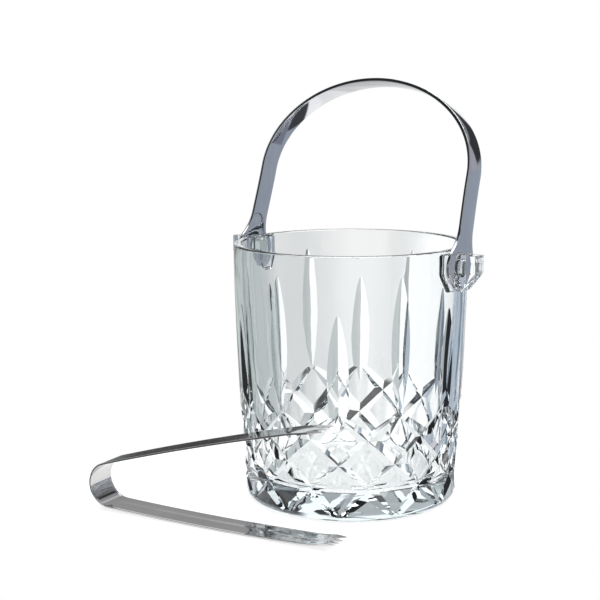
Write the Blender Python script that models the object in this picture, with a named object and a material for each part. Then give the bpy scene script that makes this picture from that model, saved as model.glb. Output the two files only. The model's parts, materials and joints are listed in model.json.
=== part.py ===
"""Cut-glass ice bucket with a swinging steel strap handle, and its sprung steel tongs.

Metres, +Z up. The origin is the centre of the flat foot. +X runs along the two
lugs that carry the handle. The tongs stand on the same surface, in front (-Y).
"""

import math

import bmesh
import bpy
from mathutils import Matrix, Vector

# Glass body: a tapered tumbler, widest at the rim.
RIM_RADIUS = 0.0640
BODY_HEIGHT = 0.1410
FOOT_RADIUS = 0.0548
SHOULDER_RADIUS = 0.0586
SHOULDER_HEIGHT = 0.0050
WALL_FOOT_RADIUS = 0.0582
STRAIGHT_HEIGHT = 0.1340
BULGE_POWER = 1.6
WALL_AT_RIM = 0.0044
WALL_AT_FLOOR = 0.0078
FLOOR_THICKNESS = 0.0140
FLOOR_FILLET = 0.0060
LIP_RADIUS = 0.0020
BODY_SEGMENTS = 72
SHOULDER_STEPS = 3
LIP_STEPS = 4
CORNER_STEPS = 3
OUTSIDE_LOOPS = (0.04, 0.16, 0.3, 0.46, 0.64, 0.82, 1.0)
INSIDE_LOOPS = (0.85, 0.6, 0.35)

# Cut decoration: upright leaf cuts, short and tall by turns, over crossed mitre cuts.
# Leaf 0 is a short one on the +X side. Where two values stand, they are short and tall.
LEAF_COUNT = 12
LEAF_BOTTOMS = (0.0400, 0.0570)
LEAF_TOPS = (0.1120, 0.1310)
LEAF_HALF_WIDTHS = (0.0066, 0.0059)
LEAF_DEPTH = 0.0022
LEAF_STEPS = 7
LEAF_SWELL = 0.8
MITRE_TOP = 0.0575
MITRE_BOTTOM = 0.0030
MITRE_PITCHES = 2.0
MITRE_HALF_WIDTH = 0.0046
MITRE_DEPTH = 0.0026
MITRE_STEPS = 8
MITRE_SWELL = 0.35
FACET_ROWS = 3
FACET_DEPTH = 0.0008
FACET_SHARE = 0.93

# Lugs: a shield-shaped pad on the wall, a neck for the handle's ring, and a head.
LUG_TOP_DROP = 0.0015
PAD_OUTER_X = 0.0658
PAD_HALF_WIDTH = 0.0095
PAD_FOOT_HALF_WIDTH = 0.0035
PAD_STRAIGHT = 0.0110
PAD_HEIGHT = 0.0205
PAD_ROUNDING = 0.0010
NECK_HALF_WIDTH = 0.0044
NECK_HALF_HEIGHT = 0.0048
NECK_SQUARENESS = 0.6
NECK_SIDES = 16
NECK_OVERLAP = 0.0012
HEAD_INNER_X = 0.0725
HEAD_OUTER_X = 0.0815
HEAD_HALF_WIDTH = 0.0042
HEAD_FACE_HEIGHT = 0.0092
HEAD_HEIGHT = 0.0190
HEAD_UNDERSIDE = 0.0008
HEAD_ROUNDING = 0.0011
ROUNDING_SEGMENTS = 2
ROUNDING_ANGLE = math.radians(35.0)
LUG_ROOT_X = 0.0615

# Handle: one steel strap, arched, with a ring at each end around the lug's neck.
PIVOT_DROP = 0.0085
STRAP_WIDTH = 0.0120
STRAP_THICKNESS = 0.0018
RING_PLANE_X = 0.0700
RING_RADIUS = 0.0126
RING_HOLE_RADIUS = 0.0070
RING_FILLET = 0.0240
FLARE_SEGMENTS = 6
LEG_HEIGHT = 0.0480
LEG_INSET = 0.0014
LEG_SEGMENTS = 4
ARCH_HEIGHT = 0.0984
ARCH_SEGMENTS = 32
RING_SEGMENTS = 24
HANDLE_LEAN = math.radians(17.0)

# Tongs: one sprung steel strip, bent to a U that stands on its lower arm.
TONGS_WIDTH = 0.0185
TONGS_THICKNESS = 0.0010
BOW_RADIUS = 0.0122
ARM_SPLAY = math.radians(9.6)
ARM_CURVE = math.radians(4.4)
ARM_LENGTH = 0.1370
TIP_TAPER_LENGTH = 0.0380
TIP_WIDTH = 0.0176
TIP_SCOOP = 0.0008
SCOOP_LENGTH = 0.0200
TOOTH_LENGTH = 0.0070
TEETH = 4
BOW_SEGMENTS = 18
ARM_SEGMENTS = 22
TONGS_HEADING = math.radians(8.9)
TONGS_BOW_X = -0.0829
TONGS_BOW_Y = -0.1001
FLEX_GAP = 0.0003

MERGE_DISTANCE = 0.000001
SMOOTH_ANGLE = math.radians(30.0)


def clear_scene():
    for item in list(bpy.data.objects):
        bpy.data.objects.remove(item, do_unlink=True)


def make_material(name, color, roughness, metallic=0.0, transmission=0.0, ior=1.5):
    material = bpy.data.materials.new(name)
    material.use_nodes = True
    shader = material.node_tree.nodes["Principled BSDF"]
    shader.inputs["Base Color"].default_value = color
    shader.inputs["Roughness"].default_value = roughness
    shader.inputs["Metallic"].default_value = metallic
    shader.inputs["Transmission Weight"].default_value = transmission
    shader.inputs["IOR"].default_value = ior
    return material


def mesh_object(name, points, faces, material=None):
    mesh = bpy.data.meshes.new(name)
    mesh.from_pydata([tuple(p) for p in points], [], faces)
    mesh.validate()
    item = bpy.data.objects.new(name, mesh)
    bpy.context.scene.collection.objects.link(item)
    if material is not None:
        mesh.materials.append(material)
    return item


def recalculate_normals(item):
    work = bmesh.new()
    work.from_mesh(item.data)
    bmesh.ops.remove_doubles(work, verts=work.verts, dist=MERGE_DISTANCE)
    bmesh.ops.recalc_face_normals(work, faces=work.faces)
    work.to_mesh(item.data)
    work.free()


def shade_smooth(item):
    item.data.shade_smooth()
    item.data.set_sharp_from_angle(angle=SMOOTH_ANGLE)


def hide_cutter(item):
    item.hide_render = True
    item.display_type = "WIRE"


def add_boolean(target, cutter, operation):
    modifier = target.modifiers.new(cutter.name, "BOOLEAN")
    modifier.operation = operation
    modifier.solver = "EXACT"
    modifier.object = cutter


# ---------------------------------------------------------------- glass body

def outer_radius(z):
    """The outside of the wall: nearly upright at the top, closing in to the foot."""
    rise = min(max(z / STRAIGHT_HEIGHT, 0.0), 1.0)
    share = 1.0 - (1.0 - rise) ** BULGE_POWER
    return WALL_FOOT_RADIUS + (RIM_RADIUS - WALL_FOOT_RADIUS) * share


def inner_radius(z):
    rise = (z - FLOOR_THICKNESS) / (BODY_HEIGHT - FLOOR_THICKNESS)
    wall = WALL_AT_FLOOR + (WALL_AT_RIM - WALL_AT_FLOOR) * min(max(rise, 0.0), 1.0)
    return outer_radius(z) - wall


def body_profile():
    """Radius and height pairs from the centre of the foot, up the outside, down to the floor."""
    profile = [(0.0, 0.0), (FOOT_RADIUS, 0.0)]
    for step in range(1, SHOULDER_STEPS):
        turn = 0.5 * math.pi * step / SHOULDER_STEPS
        radius = FOOT_RADIUS + (SHOULDER_RADIUS - FOOT_RADIUS) * math.sin(turn)
        profile.append((radius, SHOULDER_HEIGHT * (1.0 - math.cos(turn))))
    for share in OUTSIDE_LOOPS:
        height = SHOULDER_HEIGHT + (STRAIGHT_HEIGHT - SHOULDER_HEIGHT) * share
        profile.append((outer_radius(height), height))
    lip_height = BODY_HEIGHT - LIP_RADIUS
    middle = RIM_RADIUS - LIP_RADIUS
    for step in range(LIP_STEPS + 1):
        turn = math.pi * step / LIP_STEPS
        radius = middle + LIP_RADIUS * math.cos(turn)
        profile.append((radius, lip_height + LIP_RADIUS * math.sin(turn)))
    for share in INSIDE_LOOPS:
        height = FLOOR_THICKNESS + (lip_height - FLOOR_THICKNESS) * share
        profile.append((inner_radius(height), height))
    corner = inner_radius(FLOOR_THICKNESS + FLOOR_FILLET)
    for step in range(CORNER_STEPS + 1):
        turn = 0.5 * math.pi * step / CORNER_STEPS
        radius = corner - FLOOR_FILLET * (1.0 - math.cos(turn))
        profile.append((radius, FLOOR_THICKNESS + FLOOR_FILLET * (1.0 - math.sin(turn))))
    profile.append((0.0, FLOOR_THICKNESS))
    return profile


def turned_body(name, material):
    """The profile turned about Z, with one vertex at each pole."""
    profile = body_profile()
    points = []
    rings = []
    for radius, height in profile:
        if radius == 0.0:
            rings.append([len(points)])
            points.append((0.0, 0.0, height))
            continue
        ring = []
        for step in range(BODY_SEGMENTS):
            angle = 2.0 * math.pi * (step + 0.5) / BODY_SEGMENTS
            ring.append(len(points))
            points.append((radius * math.cos(angle), radius * math.sin(angle), height))
        rings.append(ring)
    faces = []
    for lower, upper in zip(rings, rings[1:]):
        for step in range(BODY_SEGMENTS):
            after = (step + 1) % BODY_SEGMENTS
            if len(lower) == 1:
                faces.append((lower[0], upper[after], upper[step]))
            elif len(upper) == 1:
                faces.append((lower[step], lower[after], upper[0]))
            else:
                faces.append((lower[step], lower[after], upper[after], upper[step]))
    body = mesh_object(name, points, faces, material)
    recalculate_normals(body)
    return body


def groove_cutter(name, route, half_width, depth):
    """A pointed spindle of diamond section along a route of (angle, height) pairs.

    half_width and depth are functions of the share of the route, from 0 to 1. The section
    is the V of the cut, carried on as far above the glass as below it and closed by a roof.
    """
    points = []
    last = len(route) - 1
    for index, (angle, height) in enumerate(route):
        share = index / last
        radius = outer_radius(height)
        outward = Vector((math.cos(angle), math.sin(angle), 0.0))
        ahead = route[min(index + 1, last)]
        behind = route[max(index - 1, 0)]
        sweep = (ahead[0] - behind[0]) * radius
        climb = ahead[1] - behind[1]
        across_turn = Vector((-math.sin(angle), math.cos(angle), 0.0)) * climb
        across = (across_turn - Vector((0.0, 0.0, sweep))).normalized()
        centre = outward * radius + Vector((0.0, 0.0, height))
        if index in (0, last):
            points.append(centre + outward * depth(0.5))
            continue
        rise = outward * depth(share)
        spread = across * half_width(share) * 2.0
        points.append(centre - rise)
        points.append(centre + rise + spread)
        points.append(centre + rise * 3.0)
        points.append(centre + rise - spread)
    faces = []
    for side in range(4):
        faces.append((0, 1 + side, 1 + (side + 1) % 4))
    for index in range(last - 2):
        here = 1 + 4 * index
        for side in range(4):
            after = (side + 1) % 4
            faces.append((here + side, here + 4 + side, here + 4 + after, here + after))
    end = 1 + 4 * (last - 2)
    for side in range(4):
        faces.append((end + 4, end + (side + 1) % 4, end + side))
    cutter = mesh_object(name, points, faces)
    recalculate_normals(cutter)
    hide_cutter(cutter)
    return cutter


def leaf_cutter(index):
    """An upright pointed cut with a sharp valley; the even ones are short, the odd ones tall."""
    angle = 2.0 * math.pi * index / LEAF_COUNT
    kind = index % 2
    bottom = LEAF_BOTTOMS[kind]
    height = LEAF_TOPS[kind] - bottom
    route = [(angle, bottom + height * step / LEAF_STEPS) for step in range(LEAF_STEPS + 1)]

    def swell(share):
        return math.sin(math.pi * share) ** LEAF_SWELL

    return groove_cutter(
        "leaf_cut_%02d" % index, route,
        lambda share: LEAF_HALF_WIDTHS[kind] * swell(share),
        lambda share: LEAF_DEPTH * swell(share))


def mitre_cutter(index, lean):
    """A V cut that slants down from the foot of a leaf, to the left or the right."""
    pitch = 2.0 * math.pi / LEAF_COUNT
    route = []
    for step in range(MITRE_STEPS + 1):
        share = step / MITRE_STEPS
        angle = pitch * (index + lean * MITRE_PITCHES * share)
        route.append((angle, MITRE_TOP + (MITRE_BOTTOM - MITRE_TOP) * share))

    def swell(share):
        return math.sin(math.pi * share) ** MITRE_SWELL

    side = "left" if lean < 0 else "right"
    return groove_cutter(
        "mitre_cut_%s_%02d" % (side, index), route,
        lambda share: MITRE_HALF_WIDTH * swell(share),
        lambda share: MITRE_DEPTH * swell(share))


def facet_cutter(row, index):
    """A block that planes the land between four mitre cuts to one flat diamond.

    Row 0 is the highest row of diamonds, just under the leaves.
    """
    pitch = 2.0 * math.pi / LEAF_COUNT
    angle = pitch * (index + 0.5 * (row % 2))
    row_height = (MITRE_TOP - MITRE_BOTTOM) / (2.0 * MITRE_PITCHES)
    middle = MITRE_TOP - row_height * (row + 1)
    outward = Vector((math.cos(angle), math.sin(angle), 0.0))
    across = Vector((-math.sin(angle), math.cos(angle), 0.0))
    radius = outer_radius(middle)
    widening = outer_radius(middle + row_height) - outer_radius(middle - row_height)
    lean = widening / (2.0 * row_height)
    half_width = radius * math.sin(pitch / 2.0) * FACET_SHARE
    half_height = row_height * FACET_SHARE
    corners = ((half_width, 0.0), (0.0, half_height), (-half_width, 0.0), (0.0, -half_height))
    points = []
    for lift in (-FACET_DEPTH, FACET_DEPTH * 4.0):
        for sideways, upward in corners:
            level = Vector((0.0, 0.0, middle + upward))
            points.append(outward * (radius + lift + lean * upward) + across * sideways + level)
    faces = [(0, 1, 2, 3), (7, 6, 5, 4), (0, 4, 5, 1), (1, 5, 6, 2), (2, 6, 7, 3), (3, 7, 4, 0)]
    cutter = mesh_object("facet_cut_%d_%02d" % (row, index), points, faces)
    recalculate_normals(cutter)
    hide_cutter(cutter)
    return cutter


def prism(name, outline, start, end, axes):
    """An outline in two coordinates, extruded from start to end along the third.

    axes maps (first, second, along) to the x, y and z positions.
    """
    count = len(outline)
    points = []
    for along in (start, end):
        for first, second in outline:
            value = [0.0, 0.0, 0.0]
            value[axes[0]] = first
            value[axes[1]] = second
            value[axes[2]] = along
            points.append(value)
    faces = [tuple(range(count)), tuple(range(2 * count - 1, count - 1, -1))]
    for index in range(count):
        after = (index + 1) % count
        faces.append((index, index + count, after + count, after))
    item = mesh_object(name, points, faces)
    recalculate_normals(item)
    return item


def round_edges(item, width):
    modifier = item.modifiers.new("rounding", "BEVEL")
    modifier.width = width
    modifier.segments = ROUNDING_SEGMENTS
    modifier.limit_method = "ANGLE"
    modifier.angle_limit = ROUNDING_ANGLE


def rounded_square(value):
    """Turns a circle's sine or cosine into that of a square with well rounded corners."""
    return math.copysign(abs(value) ** NECK_SQUARENESS, value)


def lug_pieces(side):
    """The pad, neck and head at one end of the handle's axis; side is +1 or -1."""
    top = BODY_HEIGHT - LUG_TOP_DROP
    pivot = BODY_HEIGHT - PIVOT_DROP
    word = "right" if side > 0 else "left"
    pad_outline = [
        (-PAD_HALF_WIDTH, top), (PAD_HALF_WIDTH, top),
        (PAD_HALF_WIDTH, top - PAD_STRAIGHT),
        (PAD_FOOT_HALF_WIDTH, top - PAD_HEIGHT),
        (-PAD_FOOT_HALF_WIDTH, top - PAD_HEIGHT),
        (-PAD_HALF_WIDTH, top - PAD_STRAIGHT)]
    pad = prism("pad_" + word, pad_outline, side * LUG_ROOT_X, side * PAD_OUTER_X, (1, 2, 0))
    round_edges(pad, PAD_ROUNDING)
    neck_outline = []
    for step in range(NECK_SIDES):
        turn = 2.0 * math.pi * (step + 0.5) / NECK_SIDES
        across = NECK_HALF_WIDTH * rounded_square(math.cos(turn))
        neck_outline.append((across, pivot + NECK_HALF_HEIGHT * rounded_square(math.sin(turn))))
    neck_start = side * (LUG_ROOT_X + NECK_OVERLAP)
    neck_end = side * (HEAD_OUTER_X - NECK_OVERLAP)
    neck = prism("neck_" + word, neck_outline, neck_start, neck_end, (1, 2, 0))
    head_outline = [
        (side * HEAD_INNER_X, top), (side * HEAD_OUTER_X, top),
        (side * HEAD_OUTER_X, top - HEAD_FACE_HEIGHT),
        (side * (HEAD_INNER_X + HEAD_UNDERSIDE), top - HEAD_HEIGHT),
        (side * HEAD_INNER_X, top - HEAD_HEIGHT)]
    head = prism("head_" + word, head_outline, -HEAD_HALF_WIDTH, HEAD_HALF_WIDTH, (0, 2, 1))
    round_edges(head, HEAD_ROUNDING)
    pieces = [pad, neck, head]
    for piece in pieces:
        hide_cutter(piece)
    return pieces


def make_glass_bucket(material):
    body = turned_body("glass_bucket", material)
    for index in range(LEAF_COUNT):
        for row in range(FACET_ROWS):
            add_boolean(body, facet_cutter(row, index), "DIFFERENCE")
    for index in range(LEAF_COUNT):
        add_boolean(body, leaf_cutter(index), "DIFFERENCE")
    for index in range(LEAF_COUNT):
        for lean in (-1, 1):
            add_boolean(body, mitre_cutter(index, lean), "DIFFERENCE")
    for side in (1, -1):
        for piece in lug_pieces(side):
            add_boolean(body, piece, "UNION")
    shade_smooth(body)
    return body


# -------------------------------------------------------------------- handle

def smoothstep(value):
    value = min(max(value, 0.0), 1.0)
    return value * value * (3.0 - 2.0 * value)


def leg_point(side, height, across):
    """A point of a leg's middle surface; side is +1 or -1, and height is above the pivot.

    The legs lean in by the inset on their way up to the arch.
    """
    inset = LEG_INSET * smoothstep(height / LEG_HEIGHT)
    return Vector((side * (RING_PLANE_X - inset), across, height))


def arch_point(turn, across):
    """A point of the arch's middle surface; turn goes from 0 at the right leg to pi."""
    rise = ARCH_HEIGHT - LEG_HEIGHT
    reach = RING_PLANE_X - LEG_INSET
    return Vector((reach * math.cos(turn), across, LEG_HEIGHT + rise * math.sin(turn)))


def strap_rows(eye_top):
    """Rows of three points across the strap, from above the right eye over to the left one."""
    half = STRAP_WIDTH / 2.0
    columns = (half, 0.0, -half)
    climb = LEG_HEIGHT - eye_top
    heights = [eye_top + climb * step / LEG_SEGMENTS for step in range(1, LEG_SEGMENTS)]
    rows = [[leg_point(1, height, across) for across in columns] for height in heights]
    for step in range(ARCH_SEGMENTS + 1):
        turn = math.pi * step / ARCH_SEGMENTS
        rows.append([arch_point(turn, across) for across in columns])
    rows += [[leg_point(-1, height, across) for across in columns] for height in reversed(heights)]
    return rows


def ring_outline():
    """The end of the strap seen square on: a flare from the strap's edge into a round eye.

    Returns the outline's (across, height) pairs, and the height where the flare starts.
    """
    half = STRAP_WIDTH / 2.0
    reach = RING_RADIUS + RING_FILLET
    fillet_across = half + RING_FILLET
    start = math.sqrt(reach ** 2 - fillet_across ** 2)
    touch = math.atan2(start, fillet_across)
    flare = []
    for step in range(FLARE_SEGMENTS):
        turn = math.pi + touch * step / FLARE_SEGMENTS
        across = fillet_across + RING_FILLET * math.cos(turn)
        flare.append((across, start + RING_FILLET * math.sin(turn)))
    outline = list(flare)
    for step in range(RING_SEGMENTS + 1):
        turn = touch - (math.pi + 2.0 * touch) * step / RING_SEGMENTS
        outline.append((RING_RADIUS * math.cos(turn), RING_RADIUS * math.sin(turn)))
    outline.extend((-across, height) for across, height in reversed(flare))
    outline.append((0.0, start))
    return outline, start


def make_bail_handle(material):
    """The strap's middle surface as one sheet with an eye at each end, then thickened."""
    outline, eye_top = ring_outline()
    points = []
    faces = []
    ends = []
    for side in (1, -1):
        outer = []
        inner = []
        for across, height in outline:
            turn = math.atan2(height, across)
            hole_across = RING_HOLE_RADIUS * math.cos(turn)
            hole_height = RING_HOLE_RADIUS * math.sin(turn)
            outer.append(len(points))
            points.append(leg_point(side, height, across))
            inner.append(len(points))
            points.append(leg_point(side, hole_height, hole_across))
        for index in range(len(outline)):
            after = (index + 1) % len(outline)
            face = (outer[index], outer[after], inner[after], inner[index])
            faces.append(face if side > 0 else face[::-1])
        ends.append((outer[0], outer[-1], outer[-2]))
    rows = [ends[0]]
    for row in strap_rows(eye_top):
        rows.append(tuple(range(len(points), len(points) + len(row))))
        points.extend(row)
    rows.append(ends[1])
    for lower, upper in zip(rows, rows[1:]):
        for column in (0, 1):
            faces.append((lower[column], upper[column], upper[column + 1], lower[column + 1]))
    handle = mesh_object("bail_handle", points, faces, material)
    recalculate_normals(handle)
    solid = handle.modifiers.new("thickness", "SOLIDIFY")
    solid.thickness = STRAP_THICKNESS
    solid.offset = 0.0
    solid.use_even_offset = True
    handle.location = (0.0, 0.0, BODY_HEIGHT - PIVOT_DROP)
    handle.rotation_euler = (-HANDLE_LEAN, 0.0, 0.0)
    shade_smooth(handle)
    return handle


# --------------------------------------------------------------------- tongs

def tongs_frame():
    """The turn that lays the lower arm near the table and heads the tongs past the bucket."""
    tilt = ARM_SPLAY - ARM_CURVE / 2.0
    heading = Matrix.Rotation(TONGS_HEADING, 4, "Z")
    pitch = Matrix.Rotation(-tilt, 4, "Y")
    return heading @ pitch


def arm_path(share):
    """Middle line of the upper arm in the U's own plane, from the bow (0) to the tip (1).

    Returns the forward and the upward position. The bow's centre is the origin, and the
    U's mid-line runs forward along the first axis.
    """
    slope = ARM_SPLAY - ARM_CURVE * share
    radius = ARM_LENGTH / ARM_CURVE
    start_x = -BOW_RADIUS * math.sin(ARM_SPLAY)
    start_z = BOW_RADIUS * math.cos(ARM_SPLAY)
    forward = start_x + radius * (math.sin(ARM_SPLAY) - math.sin(slope))
    upward = start_z + radius * (math.cos(slope) - math.cos(ARM_SPLAY))
    left = (1.0 - share) * ARM_LENGTH
    if left < SCOOP_LENGTH:
        upward -= TIP_SCOOP * (1.0 - left / SCOOP_LENGTH) ** 2
    return forward, upward


def arm_half_width(share):
    left = (1.0 - share) * ARM_LENGTH
    narrowing = max(0.0, 1.0 - left / TIP_TAPER_LENGTH)
    return (TONGS_WIDTH + (TIP_WIDTH - TONGS_WIDTH) * smoothstep(narrowing)) / 2.0


def sheet_solid(name, rows, normals, material):
    """A sheet given as rows of points, thickened by half the strip's gauge to each side."""
    half = TONGS_THICKNESS / 2.0
    points = []
    columns = len(rows[0])
    for offset in (half, -half):
        for row, normal in zip(rows, normals):
            points.extend(point + normal * offset for point in row)
    layer = len(rows) * columns
    faces = []
    for index in range(len(rows) - 1):
        for column in range(columns - 1):
            a = index * columns + column
            b = a + columns
            faces.append((a, b, b + 1, a + 1))
            faces.append((layer + a, layer + a + 1, layer + b + 1, layer + b))
    rim = [column for column in range(columns)]
    rim += [index * columns + columns - 1 for index in range(1, len(rows))]
    rim += [(len(rows) - 1) * columns + column for column in range(columns - 2, -1, -1)]
    rim += [index * columns for index in range(len(rows) - 2, 0, -1)]
    for here, after in zip(rim, rim[1:] + rim[:1]):
        faces.append((here, after, layer + after, layer + here))
    item = mesh_object(name, points, faces, material)
    recalculate_normals(item)
    shade_smooth(item)
    return item


def make_bow(material):
    """The bend, an arc that ends half the flex gap short of each arm."""
    rows = []
    normals = []
    reach = math.pi / 2.0 - ARM_SPLAY - FLEX_GAP / 2.0 / BOW_RADIUS
    edge = Vector((0.0, TONGS_WIDTH / 2.0, 0.0))
    for step in range(BOW_SEGMENTS + 1):
        turn = math.pi - reach + 2.0 * reach * step / BOW_SEGMENTS
        outward = Vector((math.cos(turn), 0.0, math.sin(turn)))
        rows.append([outward * BOW_RADIUS - edge, outward * BOW_RADIUS + edge])
        normals.append(outward)
    return sheet_solid("tongs_bow", rows, normals, material)


def make_arm(name, direction, material):
    """One arm with a toothed tip; direction is +1 for the upper arm and -1 for the lower."""
    columns = 2 * TEETH
    tooth = TOOTH_LENGTH / ARM_LENGTH
    first = FLEX_GAP / 2.0 / ARM_LENGTH
    rows = []
    normals = []
    for step in range(ARM_SEGMENTS + 1):
        share = first + (1.0 - first) * (step / ARM_SEGMENTS)
        row = []
        for column in range(columns + 1):
            here = share
            if step == ARM_SEGMENTS and column % 2 == 0:
                here -= tooth
            if step == ARM_SEGMENTS - 1:
                here -= tooth / 2.0
            forward, upward = arm_path(here)
            across = (2.0 * column / columns - 1.0) * arm_half_width(here)
            row.append(Vector((forward, across, direction * upward)))
        rows.append(row)
        slope = ARM_SPLAY - ARM_CURVE * share
        normals.append(Vector((-math.sin(slope), 0.0, direction * math.cos(slope))))
    return sheet_solid(name, rows, normals, material)


def make_tongs(material):
    """Bow and arms, with each arm's origin on its flex line, and the bow on the table."""
    bow = make_bow(material)
    upper = make_arm("tongs_upper_arm", 1, material)
    lower = make_arm("tongs_lower_arm", -1, material)
    pieces = (bow, upper, lower)
    place = tongs_frame()
    for item in pieces:
        item.data.transform(place)
    lowest = min(vertex.co.z for item in pieces for vertex in item.data.vertices)
    stand = Vector((TONGS_BOW_X, TONGS_BOW_Y, -lowest))
    bow.location = stand
    back = -BOW_RADIUS * math.sin(ARM_SPLAY)
    out = BOW_RADIUS * math.cos(ARM_SPLAY)
    for arm, direction in ((upper, 1), (lower, -1)):
        flex_line = place @ Vector((back, 0.0, direction * out))
        arm.data.transform(Matrix.Translation(-flex_line))
        arm.location = stand + flex_line


def build():
    clear_scene()
    glass = make_material("clear_glass", (0.93, 0.97, 0.98, 1.0), 0.02, transmission=1.0, ior=1.52)
    handle_steel = make_material("handle_steel", (0.62, 0.63, 0.65, 1.0), 0.12, metallic=1.0)
    tongs_steel = make_material("tongs_steel", (0.58, 0.57, 0.57, 1.0), 0.2, metallic=1.0)
    make_glass_bucket(glass)
    make_bail_handle(handle_steel)
    make_tongs(tongs_steel)


build()
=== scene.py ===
"""The looks of the cut-glass ice bucket, its steel strap handle and its sprung steel tongs.

Metres, +Z up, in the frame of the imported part: the origin is the centre of the bucket's
foot, +X runs along the two lugs, and the tongs stand in front of the bucket (-Y).
"""

import json
import math

import bmesh
import bpy
from mathutils import Matrix, Vector


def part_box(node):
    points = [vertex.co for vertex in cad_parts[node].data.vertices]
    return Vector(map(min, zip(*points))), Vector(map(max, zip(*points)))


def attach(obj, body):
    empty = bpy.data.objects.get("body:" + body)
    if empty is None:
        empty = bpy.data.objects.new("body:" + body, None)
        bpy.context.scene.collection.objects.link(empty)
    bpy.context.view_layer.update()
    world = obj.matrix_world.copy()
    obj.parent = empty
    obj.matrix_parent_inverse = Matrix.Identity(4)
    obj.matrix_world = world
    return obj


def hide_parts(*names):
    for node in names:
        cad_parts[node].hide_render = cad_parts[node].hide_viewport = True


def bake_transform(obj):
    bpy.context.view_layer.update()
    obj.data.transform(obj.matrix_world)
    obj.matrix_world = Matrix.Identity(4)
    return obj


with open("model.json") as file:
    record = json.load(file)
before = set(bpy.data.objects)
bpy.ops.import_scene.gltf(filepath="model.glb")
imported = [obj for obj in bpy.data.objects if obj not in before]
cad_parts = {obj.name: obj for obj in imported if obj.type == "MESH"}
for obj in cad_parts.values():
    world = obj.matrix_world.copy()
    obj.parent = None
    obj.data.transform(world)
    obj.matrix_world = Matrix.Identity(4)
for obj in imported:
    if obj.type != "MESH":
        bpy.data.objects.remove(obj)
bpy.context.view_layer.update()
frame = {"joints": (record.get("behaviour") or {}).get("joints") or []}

GLASS_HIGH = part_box("glass_bucket")[1]
HANDLE_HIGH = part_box("bail_handle")[1]
JOINTS = {joint["name"]: joint for joint in frame["joints"]}
PIVOT = Vector(JOINTS["handle_swing"]["pos_m"])
TONGS_ACROSS = Vector(JOINTS["upper_arm_squeeze"]["axis"])
TONGS_HEADING = math.atan2(-TONGS_ACROSS.x, TONGS_ACROSS.y)

# Glass body: a tapered tumbler, widest at the rim.
RIM_RADIUS = GLASS_HIGH.y
BODY_HEIGHT = GLASS_HIGH.z
FOOT_RADIUS = 0.0548
SHOULDER_RADIUS = 0.0585
SHOULDER_HEIGHT = 0.0050
WALL_FOOT_RADIUS = 0.0581
STRAIGHT_HEIGHT = 0.1340
BULGE_POWER = 1.6
WALL_AT_RIM = 0.0044
WALL_AT_FLOOR = 0.0078
FLOOR_THICKNESS = 0.0140
FLOOR_FILLET = 0.0060
LIP_HALF_WIDTH = WALL_AT_RIM / 2.0
LIP_RISE = 0.0013
LIP_SQUARENESS = 0.6
BODY_SEGMENTS = 288
OUTSIDE_STEPS = 64
INSIDE_STEPS = 24
SHOULDER_STEPS = 8
LIP_STEPS = 20
CORNER_STEPS = 10

# Cut decoration: short and tall leaf cuts by turns, over crossed mitre cuts.
# Leaf 0 is a short one on the +X side. Where two values stand, they are short and tall.
LEAF_COUNT = 12
LEAF_BOTTOMS = (0.0400, 0.0570)
LEAF_TOPS = (0.1120, 0.1310)
LEAF_HALF_WIDTHS = (0.0066, 0.0059)
LEAF_DEPTH = 0.0019
LEAF_STEPS = 40
LEAF_SWELL = 0.8
MITRE_TOP = 0.0575
MITRE_BOTTOM = 0.0030
MITRE_PITCHES = 2.0
MITRE_HALF_WIDTH = 0.0046
MITRE_DEPTH = 0.0026
MITRE_STEPS = 48
MITRE_SWELL = 0.35
FACET_ROWS = 3
FACET_DEPTH = 0.0008
FACET_SHARE = 0.93

# Lugs: a shield-shaped pad on the wall, a neck for the handle's ring, and a head.
LUG_TOP_DROP = 0.0015
PAD_OUTER_X = 0.0658
PAD_HALF_WIDTH = 0.0095
PAD_FOOT_HALF_WIDTH = 0.0035
PAD_STRAIGHT = 0.0110
PAD_HEIGHT = 0.0205
PAD_ROUNDING = 0.0013
NECK_HALF_WIDTH = 0.0044
NECK_HALF_HEIGHT = 0.0048
NECK_SQUARENESS = 0.6
NECK_SIDES = 48
NECK_OVERLAP = 0.0012
HEAD_INNER_X = 0.0725
HEAD_OUTER_X = GLASS_HIGH.x
HEAD_HALF_WIDTH = 0.0042
HEAD_FACE_HEIGHT = 0.0092
HEAD_HEIGHT = 0.0190
HEAD_UNDERSIDE = 0.0008
HEAD_ROUNDING = 0.0011
ROUNDING_SEGMENTS = 4
LUG_ROOT_X = 0.0615

# Handle: one steel strap, arched, with a ring at each end around the lug's neck.
STRAP_WIDTH = 0.0120
STRAP_THICKNESS = 0.0018
RING_PLANE_X = HANDLE_HIGH.x - STRAP_THICKNESS / 2.0
RING_RADIUS = 0.0126
RING_HOLE_RADIUS = 0.0070
RING_FILLET = 0.0240
LEG_HEIGHT = 0.0480
LEG_INSET = 0.0014
ARCH_HEIGHT = 0.0984
ARCH_SEGMENTS = 128
LEG_SEGMENTS = 8
RING_SEGMENTS = 72
FLARE_SEGMENTS = 16
STRAP_ROUNDING = 0.00022
HANDLE_LEAN = math.radians(17.0)

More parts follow.
